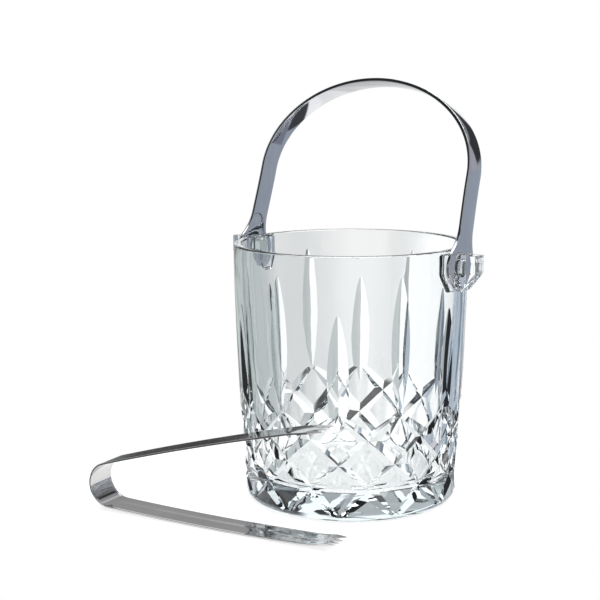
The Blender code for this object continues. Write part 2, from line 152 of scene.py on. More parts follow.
# Tongs: one sprung steel strip, bent to a U that stands on its lower arm.
TONGS_WIDTH = 0.0185
TONGS_THICKNESS = 0.0008
BOW_RADIUS = 0.0122
ARM_SPLAY = math.radians(9.6)
ARM_CURVE = math.radians(4.4)
ARM_LENGTH = 0.1370
TIP_TAPER_LENGTH = 0.0380
TIP_WIDTH = 0.0176
TIP_SCOOP = 0.0008
SCOOP_LENGTH = 0.0200
TEETH = 4
TOOTH_LENGTH = 0.0072
TOOTH_ROWS = 16
BOW_SEGMENTS = 36
ARM_SEGMENTS = 90
STRIP_COLUMNS = 40
SIDE_STEPS = 3
SIDE_ROUNDING = 0.00015
BORDER_WIDTH = 0.16
BORDER_HEIGHT = 0.00014
BORDER_SLOPE = 0.6
RIDGE_WIDTH = 0.45
RIDGE_HEIGHT = 0.00012
RELIEF_FADE = 0.012
RELIEF_END = 0.006
TOOTH_BODY_SHARE = 1.4
TOOTH_POINT_POWER = 1.15
TIP_THINNING = 0.45
TIP_THINNING_LENGTH = 0.010
TIP_CUP = 0.0009

MERGE_DISTANCE = 0.000001
BODY_MERGE_DISTANCE = 0.00001
SMOOTH_ANGLE = math.radians(9.0)
STEEL_ANGLE = math.radians(20.0)

# Glass: fire-polished, with a slow ripple and a cloud in its tint and polish.
GLASS_IOR = 1.52
GLASS_ROUGHNESS = 0.02
GLASS_TINT_LOW = (0.975, 0.985, 0.985, 1.0)
GLASS_TINT_HIGH = (0.995, 1.0, 1.0, 1.0)
GLASS_DEPTH_COLOUR = (0.80, 0.95, 1.00, 1.0)
GLASS_DEPTH_DENSITY = 5.0
RIPPLE_SCALE = 70.0
RIPPLE_STRENGTH = 0.15
RIPPLE_DISTANCE = 0.0005
GLASS_CLOUD_SCALE = 18.0

# Steel: a fine lengthwise grain, its size given along the three axes in metres.
HANDLE_COLOUR = (0.62, 0.63, 0.65)
HANDLE_ROUGHNESS = 0.05
HANDLE_GRAIN_SIZE = (0.02, 0.0006, 0.02)
HANDLE_GRAIN_DEPTH = 0.02
TONGS_COLOUR = (0.60, 0.59, 0.59)
TONGS_ROUGHNESS = 0.08
TONGS_GRAIN_SIZE = (0.03, 0.0007, 0.03)
TONGS_GRAIN_DEPTH = 0.08
STEEL_CLOUD_SCALE = 60.0
GRAIN_SHARE = 0.6
TONE_LOW = 0.90
TONE_HIGH = 1.05
GLOSS_LOW = 0.6
GLOSS_HIGH = 1.5
MIX_LOW = 0.3
MIX_HIGH = 0.7
GRAIN_DISTANCE = 0.00002

# Camera: its place as a turn about the bucket, and where it aims.
CAMERA_AZIMUTH = math.radians(35.93)
CAMERA_DISTANCE = 0.7317
CAMERA_HEIGHT = 0.2306
CAMERA_YAW = math.radians(2.18)
CAMERA_PITCH = math.radians(9.47)
CAMERA_ROLL = math.radians(0.32)
CAMERA_LENS = 80.70
SENSOR_WIDTH = 36.0
CAMERA_NEAR = 0.01
VIEW_HEADING = CAMERA_AZIMUTH + CAMERA_YAW

# Studio.
FLOOR_RADIUS = 0.137
FLOOR_CENTRE = (-0.012, -0.028)
FLOOR_DROP = 0.0004
FLOOR_SIDES = 96
FLOOR_GRAIN_SCALE = 40.0
FLOOR_TONE_LOW = (0.41, 0.41, 0.41, 1.0)
FLOOR_TONE_HIGH = (0.43, 0.43, 0.43, 1.0)
FLOOR_ROUGHNESS = 0.9
FLOOR_GLOW = 1.7
LAMP_SIZE = 0.9
LAMP_POWER = 6.0
LAMP_PLACE = (0.1, -0.1, 1.3)
PAGE_COLOUR = (1.0, 1.0, 1.0, 1.0)
LIGHT_BOUNCES = 32


# ------------------------------------------------------------------- meshes

def mesh_object(name, points, faces):
    mesh = bpy.data.meshes.new(name)
    mesh.from_pydata([tuple(point) for point in points], [], faces)
    mesh.validate()
    item = bpy.data.objects.new(name, mesh)
    bpy.context.scene.collection.objects.link(item)
    return item


def clean(item, merge=MERGE_DISTANCE):
    """Welds doubles and turns all faces outward."""
    work = bmesh.new()
    work.from_mesh(item.data)
    bmesh.ops.remove_doubles(work, verts=work.verts, dist=merge)
    bmesh.ops.recalc_face_normals(work, faces=work.faces)
    work.to_mesh(item.data)
    work.free()


def apply_modifiers(item):
    """Replaces the object's mesh by its evaluated one."""
    graph = bpy.context.evaluated_depsgraph_get()
    graph.update()
    mesh = bpy.data.meshes.new_from_object(item.evaluated_get(graph))
    item.modifiers.clear()
    item.data = mesh


def shade(item, angle):
    item.data.shade_smooth()
    item.data.set_sharp_from_angle(angle=angle)


def smoothstep(value):
    value = min(max(value, 0.0), 1.0)
    return value * value * (3.0 - 2.0 * value)


def squared(value, squareness):
    """Turns a circle's sine or cosine into that of a square with rounded corners.

    squareness is 1 for a plain circle and goes towards 0 for a sharp square.
    """
    return math.copysign(abs(value) ** squareness, value)


# --------------------------------------------------------------- glass body

def outer_radius(z):
    """The outside of the wall: nearly upright at the top, closing in to the foot."""
    rise = min(max(z / STRAIGHT_HEIGHT, 0.0), 1.0)
    share = 1.0 - (1.0 - rise) ** BULGE_POWER
    return WALL_FOOT_RADIUS + (RIM_RADIUS - WALL_FOOT_RADIUS) * share


def inner_radius(z):
    rise = (z - FLOOR_THICKNESS) / (BODY_HEIGHT - FLOOR_THICKNESS)
    wall = WALL_AT_FLOOR + (WALL_AT_RIM - WALL_AT_FLOOR) * min(max(rise, 0.0), 1.0)
    return outer_radius(z) - wall


def body_profile():
    """Radius and height pairs from the centre of the foot, up the outside, down to the floor."""
    profile = [(0.0, 0.0), (FOOT_RADIUS * 0.5, 0.0), (FOOT_RADIUS, 0.0)]
    for step in range(1, SHOULDER_STEPS):
        turn = 0.5 * math.pi * step / SHOULDER_STEPS
        radius = FOOT_RADIUS + (SHOULDER_RADIUS - FOOT_RADIUS) * math.sin(turn)
        profile.append((radius, SHOULDER_HEIGHT * (1.0 - math.cos(turn))))
    for step in range(OUTSIDE_STEPS + 1):
        height = SHOULDER_HEIGHT + (STRAIGHT_HEIGHT - SHOULDER_HEIGHT) * step / OUTSIDE_STEPS
        profile.append((outer_radius(height), height))
    lip_height = BODY_HEIGHT - LIP_RISE
    middle = RIM_RADIUS - LIP_HALF_WIDTH
    for step in range(LIP_STEPS + 1):
        turn = math.pi * step / LIP_STEPS
        radius = middle + LIP_HALF_WIDTH * squared(math.cos(turn), LIP_SQUARENESS)
        profile.append((radius, lip_height + LIP_RISE * squared(math.sin(turn), LIP_SQUARENESS)))
    inside_start = lip_height - LIP_RISE
    inside_end = FLOOR_THICKNESS + FLOOR_FILLET
    for step in range(INSIDE_STEPS):
        height = inside_start + (inside_end - inside_start) * step / INSIDE_STEPS
        profile.append((inner_radius(height), height))
    corner = inner_radius(inside_end)
    for step in range(CORNER_STEPS + 1):
        turn = 0.5 * math.pi * step / CORNER_STEPS
        radius = corner - FLOOR_FILLET * (1.0 - math.cos(turn))
        profile.append((radius, FLOOR_THICKNESS + FLOOR_FILLET * (1.0 - math.sin(turn))))
    profile.append(((corner - FLOOR_FILLET) * 0.5, FLOOR_THICKNESS))
    profile.append((0.0, FLOOR_THICKNESS))
    return profile


def turned_body(name):
    """The profile turned about Z, with one vertex at each pole."""
    points = []
    rings = []
    for radius, height in body_profile():
        if radius == 0.0:
            rings.append([len(points)])
            points.append((0.0, 0.0, height))
            continue
        ring = []
        for step in range(BODY_SEGMENTS):
            angle = 2.0 * math.pi * (step + 0.5) / BODY_SEGMENTS
            ring.append(len(points))
            points.append((radius * math.cos(angle), radius * math.sin(angle), height))
        rings.append(ring)
    faces = []
    for lower, upper in zip(rings, rings[1:]):
        for step in range(BODY_SEGMENTS):
            after = (step + 1) % BODY_SEGMENTS
            if len(lower) == 1:
                faces.append((lower[0], upper[after], upper[step]))
            elif len(upper) == 1:
                faces.append((lower[step], lower[after], upper[0]))
            else:
                faces.append((lower[step], lower[after], upper[after], upper[step]))
    body = mesh_object(name, points, faces)
    clean(body)
    return body


def groove_cutter(name, route, half_width, depth):
    """A pointed spindle of diamond section along a route of (angle, height) pairs.

    half_width and depth are functions of the share of the route, from 0 to 1. The section
    is the V of the cut, carried on as far above the glass as below it and closed by a roof.
    """
    points = []
    last = len(route) - 1
    for index, (angle, height) in enumerate(route):
        share = index / last
        radius = outer_radius(height)
        outward = Vector((math.cos(angle), math.sin(angle), 0.0))
        ahead = route[min(index + 1, last)]
        behind = route[max(index - 1, 0)]
        sweep = (ahead[0] - behind[0]) * radius
        climb = ahead[1] - behind[1]
        across_turn = Vector((-math.sin(angle), math.cos(angle), 0.0)) * climb
        across = (across_turn - Vector((0.0, 0.0, sweep))).normalized()
        centre = outward * radius + Vector((0.0, 0.0, height))
        if index in (0, last):
            points.append(centre + outward * depth(0.5))
            continue
        rise = outward * depth(share)
        spread = across * half_width(share) * 2.0
        points.append(centre - rise)
        points.append(centre + rise + spread)
        points.append(centre + rise * 3.0)
        points.append(centre + rise - spread)
    faces = []
    for side in range(4):
        faces.append((0, 1 + side, 1 + (side + 1) % 4))
    for index in range(last - 2):
        here = 1 + 4 * index
        for side in range(4):
            after = (side + 1) % 4
            faces.append((here + side, here + 4 + side, here + 4 + after, here + after))
    end = 1 + 4 * (last - 2)
    for side in range(4):
        faces.append((end + 4, end + (side + 1) % 4, end + side))
    cutter = mesh_object(name, points, faces)
    clean(cutter)
    return cutter


def leaf_cutter(index):
    """An upright pointed cut with a sharp valley; the even ones are short, the odd ones tall."""
    angle = 2.0 * math.pi * index / LEAF_COUNT
    kind = index % 2
    bottom = LEAF_BOTTOMS[kind]
    height = LEAF_TOPS[kind] - bottom
    route = [(angle, bottom + height * step / LEAF_STEPS) for step in range(LEAF_STEPS + 1)]

    def swell(share):
        return math.sin(math.pi * share) ** LEAF_SWELL

    return groove_cutter(
        "leaf_cut_%02d" % index, route,
        lambda share: LEAF_HALF_WIDTHS[kind] * swell(share),
        lambda share: LEAF_DEPTH * swell(share))


def mitre_cutter(index, lean):
    """A V cut that slants down from the foot of a leaf, to the left or the right."""
    pitch = 2.0 * math.pi / LEAF_COUNT
    route = []
    for step in range(MITRE_STEPS + 1):
        share = step / MITRE_STEPS
        angle = pitch * (index + lean * MITRE_PITCHES * share)
        route.append((angle, MITRE_TOP + (MITRE_BOTTOM - MITRE_TOP) * share))

    def swell(share):
        return math.sin(math.pi * share) ** MITRE_SWELL

    side = "left" if lean < 0 else "right"
    return groove_cutter(
        "mitre_cut_%s_%02d" % (side, index), route,
        lambda share: MITRE_HALF_WIDTH * swell(share),
        lambda share: MITRE_DEPTH * swell(share))


def facet_cutter(row, index):
    """A block that planes the land between four mitre cuts to one flat diamond.

    Row 0 is the highest row of diamonds, just under the leaves.
    """
    pitch = 2.0 * math.pi / LEAF_COUNT
    angle = pitch * (index + 0.5 * (row % 2))
    row_height = (MITRE_TOP - MITRE_BOTTOM) / (2.0 * MITRE_PITCHES)
    middle = MITRE_TOP - row_height * (row + 1)
    outward = Vector((math.cos(angle), math.sin(angle), 0.0))
    across = Vector((-math.sin(angle), math.cos(angle), 0.0))
    radius = outer_radius(middle)
    widening = outer_radius(middle + row_height) - outer_radius(middle - row_height)
    lean = widening / (2.0 * row_height)
    half_width = radius * math.sin(pitch / 2.0) * FACET_SHARE
    half_height = row_height * FACET_SHARE
    corners = ((half_width, 0.0), (0.0, half_height), (-half_width, 0.0), (0.0, -half_height))
    points = []
    for lift in (-FACET_DEPTH, FACET_DEPTH * 4.0):
        for sideways, upward in corners:
            level = Vector((0.0, 0.0, middle + upward))
            points.append(outward * (radius + lift + lean * upward) + across * sideways + level)
    faces = [(0, 1, 2, 3), (7, 6, 5, 4), (0, 4, 5, 1), (1, 5, 6, 2), (2, 6, 7, 3), (3, 7, 4, 0)]
    cutter = mesh_object("facet_cut_%d_%02d" % (row, index), points, faces)
    clean(cutter)
    return cutter


def prism(name, outline, start, end, axes):
    """An outline in two coordinates, extruded from start to end along the third.

    axes maps (first, second, along) to the x, y and z positions.
    """
    count = len(outline)
    points = []
    for along in (start, end):
        for first, second in outline:
            value = [0.0, 0.0, 0.0]
            value[axes[0]] = first
            value[axes[1]] = second
            value[axes[2]] = along
            points.append(value)
    faces = [tuple(range(count)), tuple(range(2 * count - 1, count - 1, -1))]
    for index in range(count):
        after = (index + 1) % count
        faces.append((index, index + count, after + count, after))
    item = mesh_object(name, points, faces)
    clean(item)
    return item


def round_edges(item, width, segments=ROUNDING_SEGMENTS):
    modifier = item.modifiers.new("rounding", "BEVEL")
    modifier.width = width
    modifier.segments = segments
    modifier.limit_method = "ANGLE"
    modifier.angle_limit = STEEL_ANGLE
    apply_modifiers(item)


def lug_pieces(side):
    """The pad, neck and head at one end of the handle's axis; side is +1 or -1."""
    top = BODY_HEIGHT - LUG_TOP_DROP
    word = "right" if side > 0 else "left"
    pad_outline = [
        (-PAD_HALF_WIDTH, top), (PAD_HALF_WIDTH, top),
        (PAD_HALF_WIDTH, top - PAD_STRAIGHT),
        (PAD_FOOT_HALF_WIDTH, top - PAD_HEIGHT),
        (-PAD_FOOT_HALF_WIDTH, top - PAD_HEIGHT),
        (-PAD_HALF_WIDTH, top - PAD_STRAIGHT)]
    pad = prism("pad_" + word, pad_outline, side * LUG_ROOT_X, side * PAD_OUTER_X, (1, 2, 0))
    round_edges(pad, PAD_ROUNDING)
    neck_outline = []
    for step in range(NECK_SIDES):
        turn = 2.0 * math.pi * (step + 0.5) / NECK_SIDES
        across = NECK_HALF_WIDTH * squared(math.cos(turn), NECK_SQUARENESS)
        rise = NECK_HALF_HEIGHT * squared(math.sin(turn), NECK_SQUARENESS)
        neck_outline.append((across, PIVOT.z + rise))
    neck_start = side * (LUG_ROOT_X + NECK_OVERLAP)
    neck_end = side * (HEAD_OUTER_X - NECK_OVERLAP)
    neck = prism("neck_" + word, neck_outline, neck_start, neck_end, (1, 2, 0))
    head_outline = [
        (side * HEAD_INNER_X, top), (side * HEAD_OUTER_X, top),
        (side * HEAD_OUTER_X, top - HEAD_FACE_HEIGHT),
        (side * (HEAD_INNER_X + HEAD_UNDERSIDE), top - HEAD_HEIGHT),
        (side * HEAD_INNER_X, top - HEAD_HEIGHT)]
    head = prism("head_" + word, head_outline, -HEAD_HALF_WIDTH, HEAD_HALF_WIDTH, (0, 2, 1))
    round_edges(head, HEAD_ROUNDING)
    return [pad, neck, head]


def combine(body, tools, operation):
    """One boolean of the body with all the tools, which are then removed."""
    group = bpy.data.collections.new("tools")
    for tool in tools:
        group.objects.link(tool)
    modifier = body.modifiers.new("combine", "BOOLEAN")
    modifier.operation = operation
    modifier.solver = "MANIFOLD"
    modifier.operand_type = "COLLECTION"
    modifier.collection = group
    apply_modifiers(body)
    for tool in tools:
        bpy.data.objects.remove(tool, do_unlink=True)
    bpy.data.collections.remove(group)


def make_glass():
    body = turned_body("cut_glass_body")
    cutters = [leaf_cutter(index) for index in range(LEAF_COUNT)]
    for index in range(LEAF_COUNT):
        cutters.extend(mitre_cutter(index, lean) for lean in (-1, 1))
        cutters.extend(facet_cutter(row, index) for row in range(FACET_ROWS))
    combine(body, cutters, "DIFFERENCE")
    combine(body, lug_pieces(1) + lug_pieces(-1), "UNION")
    clean(body, BODY_MERGE_DISTANCE)
    shade(body, SMOOTH_ANGLE)
    return body


# ------------------------------------------------------------------- handle

def leg_point(side, height, across):
    """A point of a leg's middle surface; side is +1 or -1, and height is above the pivot."""
    inset = LEG_INSET * smoothstep(height / LEG_HEIGHT)
    return Vector((side * (RING_PLANE_X - inset), across, height))


def arch_point(turn, across):
    """A point of the arch's middle surface; turn goes from 0 at the right leg to pi."""
    rise = ARCH_HEIGHT - LEG_HEIGHT
    reach = RING_PLANE_X - LEG_INSET
    return Vector((reach * math.cos(turn), across, LEG_HEIGHT + rise * math.sin(turn)))


def strap_rows(eye_top):
    """Rows of three points across the strap, from above the right eye over to the left one."""
    half = STRAP_WIDTH / 2.0
    columns = (half, 0.0, -half)
    heights = [eye_top + (LEG_HEIGHT - eye_top) * step / LEG_SEGMENTS for step in range(1, LEG_SEGMENTS)]
    rows = [[leg_point(1, height, across) for across in columns] for height in heights]
    for step in range(ARCH_SEGMENTS + 1):
        turn = math.pi * step / ARCH_SEGMENTS
        rows.append([arch_point(turn, across) for across in columns])
    rows += [[leg_point(-1, height, across) for across in columns] for height in reversed(heights)]
    return rows


def ring_outline():
    """The end of the strap seen square on: a flare from the strap's edge into a round eye.

    Returns the outline's (across, height) pairs, and the height where the flare starts.
    """
    half = STRAP_WIDTH / 2.0
    reach = RING_RADIUS + RING_FILLET
    fillet_across = half + RING_FILLET
    start = math.sqrt(reach ** 2 - fillet_across ** 2)
    touch = math.atan2(start, fillet_across)
    flare = []
    for step in range(FLARE_SEGMENTS):
        turn = math.pi + touch * step / FLARE_SEGMENTS
        across = fillet_across + RING_FILLET * math.cos(turn)
        flare.append((across, start + RING_FILLET * math.sin(turn)))
    outline = list(flare)
    for step in range(RING_SEGMENTS + 1):
        turn = touch - (math.pi + 2.0 * touch) * step / RING_SEGMENTS
        outline.append((RING_RADIUS * math.cos(turn), RING_RADIUS * math.sin(turn)))
    outline.extend((-across, height) for across, height in reversed(flare))
    outline.append((0.0, start))
    return outline, start


def make_handle():
    """The strap's middle surface as one sheet with an eye at each end, then thickened."""
    outline, eye_top = ring_outline()
    points = []
    faces = []
    ends = []
    for side in (1, -1):
        outer = []
        inner = []
        for across, height in outline:
            turn = math.atan2(height, across)
            hole_across = RING_HOLE_RADIUS * math.cos(turn)
            hole_height = RING_HOLE_RADIUS * math.sin(turn)
            outer.append(len(points))
            points.append(leg_point(side, height, across))
            inner.append(len(points))
            points.append(leg_point(side, hole_height, hole_across))
        for index in range(len(outline)):
            after = (index + 1) % len(outline)
            face = (outer[index], outer[after], inner[after], inner[index])
            faces.append(face if side > 0 else face[::-1])
        ends.append((outer[0], outer[-1], outer[-2]))
    rows = [ends[0]]
    for row in strap_rows(eye_top):
        rows.append(tuple(range(len(points), len(points) + len(row))))
        points.extend(row)
    rows.append(ends[1])
    for lower, upper in zip(rows, rows[1:]):
        for column in (0, 1):
            faces.append((lower[column], upper[column], upper[column + 1], lower[column + 1]))
    handle = mesh_object("steel_strap_handle", points, faces)
    clean(handle)
    solid = handle.modifiers.new("thickness", "SOLIDIFY")
    solid.thickness = STRAP_THICKNESS
    solid.offset = 0.0
    solid.use_even_offset = True
    apply_modifiers(handle)
    round_edges(handle, STRAP_ROUNDING, 3)
    handle.data.transform(Matrix.Translation(PIVOT) @ Matrix.Rotation(-HANDLE_LEAN, 4, "X"))
    shade(handle, STEEL_ANGLE)
    return handle


# -------------------------------------------------------------------- tongs

def tongs_place():
    """The tongs' own frame in the row frame, read from their two squeeze joints."""
    tilt = Matrix.Rotation(-(ARM_SPLAY - ARM_CURVE / 2.0), 4, "Y")
    turn = Matrix.Rotation(TONGS_HEADING, 4, "Z") @ tilt
    flexes = [Vector(JOINTS[name]["pos_m"]) for name in ("upper_arm_squeeze", "lower_arm_squeeze")]
    flex_middle = (flexes[0] + flexes[1]) / 2.0
    forward = turn @ Vector((1.0, 0.0, 0.0))
    return Matrix.Translation(flex_middle + forward * BOW_RADIUS * math.sin(ARM_SPLAY)) @ turn


def strip_station(distance):
    """Middle line and outward normal of the upper half, from the bow's crown to the tip.

    distance runs along the strip from the crown. The bow's centre is the origin, and the
    U's mid-line runs forward along the first axis.
    """
    bow_length = BOW_RADIUS * (math.pi / 2.0 - ARM_SPLAY)
    if distance <= bow_length:
        turn = math.pi - distance / BOW_RADIUS
        normal = Vector((math.cos(turn), 0.0, math.sin(turn)))
        return normal * BOW_RADIUS, normal
    share = min((distance - bow_length) / ARM_LENGTH, 1.0)
    slope = ARM_SPLAY - ARM_CURVE * share
    radius = ARM_LENGTH / ARM_CURVE
    forward = radius * (math.sin(ARM_SPLAY) - math.sin(slope)) - BOW_RADIUS * math.sin(ARM_SPLAY)
    upward = radius * (math.cos(slope) - math.cos(ARM_SPLAY)) + BOW_RADIUS * math.cos(ARM_SPLAY)
    left = (1.0 - share) * ARM_LENGTH
    scoop = max(0.0, 1.0 - left / SCOOP_LENGTH)
    upward -= TIP_SCOOP * scoop ** 2
    dip = 2.0 * TIP_SCOOP * scoop / SCOOP_LENGTH
    normal = Vector((-math.sin(slope - dip), 0.0, math.cos(slope - dip)))
    return Vector((forward, 0.0, upward)), normal


def strip_half_width(distance, total):
    narrowing = smoothstep(1.0 - (total - distance) / TIP_TAPER_LENGTH)
    return (TONGS_WIDTH + (TIP_WIDTH - TONGS_WIDTH) * narrowing) / 2.0


def strip_columns(half_width, half_thickness):
    """Places across the strip, from -1 to 1, with the share of the thickness left at each.

    The sides are flat, with their corners rounded.
    """
    flat = 1.0 - SIDE_ROUNDING / half_width
    round_share = SIDE_ROUNDING / half_thickness
    middle = [(flat * (2.0 * step / STRIP_COLUMNS - 1.0), 1.0) for step in range(STRIP_COLUMNS + 1)]
    side = []
    for step in range(1, SIDE_STEPS + 1):
        turn = 0.5 * math.pi * step / SIDE_STEPS
        side.append((flat + (1.0 - flat) * math.sin(turn), 1.0 - round_share * (1.0 - math.cos(turn))))
    return [(-place, share) for place, share in reversed(side)] + middle + side


def strip_relief(across, distance, total):
    """How far the inside face stands proud: two rounded borders and a ridge down the middle."""
    border = smoothstep((abs(across) - 1.0 + BORDER_WIDTH) / (BORDER_WIDTH * BORDER_SLOPE))
    ridge = smoothstep(1.0 - abs(across) / RIDGE_WIDTH)
    start = smoothstep((distance - BOW_RADIUS) / RELIEF_FADE)
    end = smoothstep((total - distance - RELIEF_END) / RELIEF_FADE)
    return BORDER_HEIGHT * border * end + RIDGE_HEIGHT * ridge * start * end


def make_tongs_half(name, direction):
    """Half of the strip, from the crown of the bow to one tip; direction is +1 for the upper."""
    bow_length = BOW_RADIUS * (math.pi / 2.0 - ARM_SPLAY)
    total = bow_length + ARM_LENGTH
    body_end = total - TOOTH_LENGTH * TOOTH_BODY_SHARE
    stations = [bow_length * step / BOW_SEGMENTS for step in range(BOW_SEGMENTS)]
    arm_step = (body_end - bow_length) / ARM_SEGMENTS
    stations += [bow_length + arm_step * step for step in range(ARM_SEGMENTS + 1)]
    columns = strip_columns(TONGS_WIDTH / 2.0, TONGS_THICKNESS / 2.0)
    points = []
    layers = []
    for layer in (1, -1):
        rows = []
        for index in range(len(stations) + TOOTH_ROWS):
            row = []
            for across, share in columns:
                wave = abs(((across + 1.0) * TEETH / 2.0) % 1.0 - 0.5) * 2.0
                if index < len(stations):
                    distance = stations[index]
                else:
                    reach = (index - len(stations) + 1) / TOOTH_ROWS
                    end = total - TOOTH_LENGTH * wave ** TOOTH_POINT_POWER
                    distance = body_end + (end - body_end) * reach
                centre, normal = strip_station(distance)
                near_tip = smoothstep(1.0 - (total - distance) / TIP_THINNING_LENGTH)
                thinning = 1.0 - TIP_THINNING * near_tip
                half = TONGS_THICKNESS / 2.0 * thinning
                offset = half * share
                if layer < 0:
                    offset = -(half + strip_relief(across, distance, total)) * share
                cup = TIP_CUP * smoothstep(1.0 - (total - distance) / SCOOP_LENGTH) * across ** 2
                point = centre + normal * (offset - cup)
                point.y = across * strip_half_width(distance, total)
                row.append(len(points))
                points.append(Vector((point.x, point.y, direction * point.z)))
            rows.append(row)
        layers.append(rows)
    faces = []
    outside, inside = layers
    count = len(outside)
    last = len(columns) - 1
    for index in range(count - 1):
        for column in range(last):
            a, b = outside[index][column], outside[index][column + 1]
            c, d = outside[index + 1][column + 1], outside[index + 1][column]
            faces.append((a, b, c, d))
            a, b = inside[index][column], inside[index][column + 1]
            c, d = inside[index + 1][column + 1], inside[index + 1][column]
            faces.append((d, c, b, a))
        for column in (0, last):
            faces.append((outside[index][column], outside[index + 1][column],
                          inside[index + 1][column], inside[index][column]))
    for index in (0, count - 1):
        for column in range(last):
            faces.append((outside[index][column], outside[index][column + 1],
                          inside[index][column + 1], inside[index][column]))
    half = mesh_object(name, points, faces)
    clean(half)
    half.data.transform(tongs_place())
    shade(half, STEEL_ANGLE)
    return half


# ---------------------------------------------------------------- materials

class Nodes:
    """A small helper that adds nodes to a material or world and links them in order."""

    def __init__(self, tree):
        self.tree = tree

    def add(self, kind, values=None, settings=None):
        node = self.tree.nodes.new(kind)
        for name, value in (settings or {}).items():
            setattr(node, name, value)
        for name, value in (values or {}).items():
            if isinstance(value, bpy.types.NodeSocket):
                self.tree.links.new(value, node.inputs[name])
            else:
                node.inputs[name].default_value = value
        return node

    def math(self, operation, first, second=0.0):
        node = self.add("ShaderNodeMath", settings={"operation": operation})
        for index, value in enumerate((first, second)):
            if isinstance(value, bpy.types.NodeSocket):
                self.tree.links.new(value, node.inputs[index])
            else:
                node.inputs[index].default_value = value
        return node.outputs[0]


def new_material(name):
    material = bpy.data.materials.new(name)
    material.use_nodes = True
    tree = material.node_tree
    shader = tree.nodes["Principled BSDF"]
    return material, Nodes(tree), shader


def glass_material():
    """Clear pressed glass: fire-polished, with a slow ripple, and faintly teal in its depth."""
    material, nodes, shader = new_material("clear_cut_glass")
    shader.inputs["Transmission Weight"].default_value = 1.0
    shader.inputs["IOR"].default_value = GLASS_IOR
    place = nodes.add("ShaderNodeTexCoord")
    ripple = nodes.add("ShaderNodeTexNoise", {
        "Vector": place.outputs["Object"], "Scale": RIPPLE_SCALE, "Detail": 1.0})
    bump = nodes.add("ShaderNodeBump", {
        "Strength": RIPPLE_STRENGTH, "Distance": RIPPLE_DISTANCE, "Height": ripple.outputs["Fac"]})
    nodes.tree.links.new(bump.outputs["Normal"], shader.inputs["Normal"])
    cloud = nodes.add("ShaderNodeTexNoise", {
        "Vector": place.outputs["Object"], "Scale": GLASS_CLOUD_SCALE, "Detail": 3.0})
    tint = nodes.add("ShaderNodeValToRGB", {"Fac": cloud.outputs["Fac"]})
    tint.color_ramp.elements[0].color = GLASS_TINT_LOW
    tint.color_ramp.elements[1].color = GLASS_TINT_HIGH
    nodes.tree.links.new(tint.outputs["Color"], shader.inputs["Base Color"])
    polish = nodes.add("ShaderNodeMapRange", {
        "Value": cloud.outputs["Fac"], "To Min": 0.0, "To Max": GLASS_ROUGHNESS})
    nodes.tree.links.new(polish.outputs["Result"], shader.inputs["Roughness"])
    depth = nodes.add("ShaderNodeVolumeAbsorption", {
        "Color": GLASS_DEPTH_COLOUR, "Density": GLASS_DEPTH_DENSITY})
    output = nodes.tree.nodes["Material Output"]
    nodes.tree.links.new(depth.outputs["Volume"], output.inputs["Volume"])
    return material


def steel_material(name, color, roughness, grain_size, grain_turn, grain_depth):
    """Polished stainless steel: a fine lengthwise grain and a faint cloud in its polish.

    grain_size is the size of the grain along the three axes, turned by grain_turn about Z.
    """
    material, nodes, shader = new_material(name)
    shader.inputs["Metallic"].default_value = 1.0
    place = nodes.add("ShaderNodeTexCoord")
    stretch = nodes.add("ShaderNodeMapping", {
        "Vector": place.outputs["Object"], "Scale": grain_size, "Rotation": (0.0, 0.0, grain_turn)},
        {"vector_type": "TEXTURE"})
    grain = nodes.add("ShaderNodeTexNoise", {
        "Vector": stretch.outputs["Vector"], "Scale": 1.0, "Detail": 4.0, "Roughness": 0.6})
    cloud = nodes.add("ShaderNodeTexNoise", {
        "Vector": place.outputs["Object"], "Scale": STEEL_CLOUD_SCALE, "Detail": 3.0})
    mixed = nodes.math("MULTIPLY_ADD", grain.outputs["Fac"], GRAIN_SHARE)
    rest = nodes.math("MULTIPLY", cloud.outputs["Fac"], 1.0 - GRAIN_SHARE)
    nodes.tree.links.new(rest, mixed.node.inputs[2])
    gloss = nodes.add("ShaderNodeMapRange", {
        "Value": mixed, "From Min": MIX_LOW, "From Max": MIX_HIGH,
        "To Min": roughness * GLOSS_LOW, "To Max": roughness * GLOSS_HIGH})
    nodes.tree.links.new(gloss.outputs["Result"], shader.inputs["Roughness"])
    tone = nodes.add("ShaderNodeValToRGB", {"Fac": mixed})
    for index, (position, share) in enumerate(((MIX_LOW, TONE_LOW), (MIX_HIGH, TONE_HIGH))):
        element = tone.color_ramp.elements[index]
        element.position = position
        element.color = tuple(share * value for value in color) + (1.0,)
    nodes.tree.links.new(tone.outputs["Color"], shader.inputs["Base Color"])
    bump = nodes.add("ShaderNodeBump", {
        "Strength": grain_depth, "Distance": GRAIN_DISTANCE, "Height": grain.outputs["Fac"]})
    nodes.tree.links.new(bump.outputs["Normal"], shader.inputs["Normal"])
    return material


# ------------------------------------------------------------------- studio

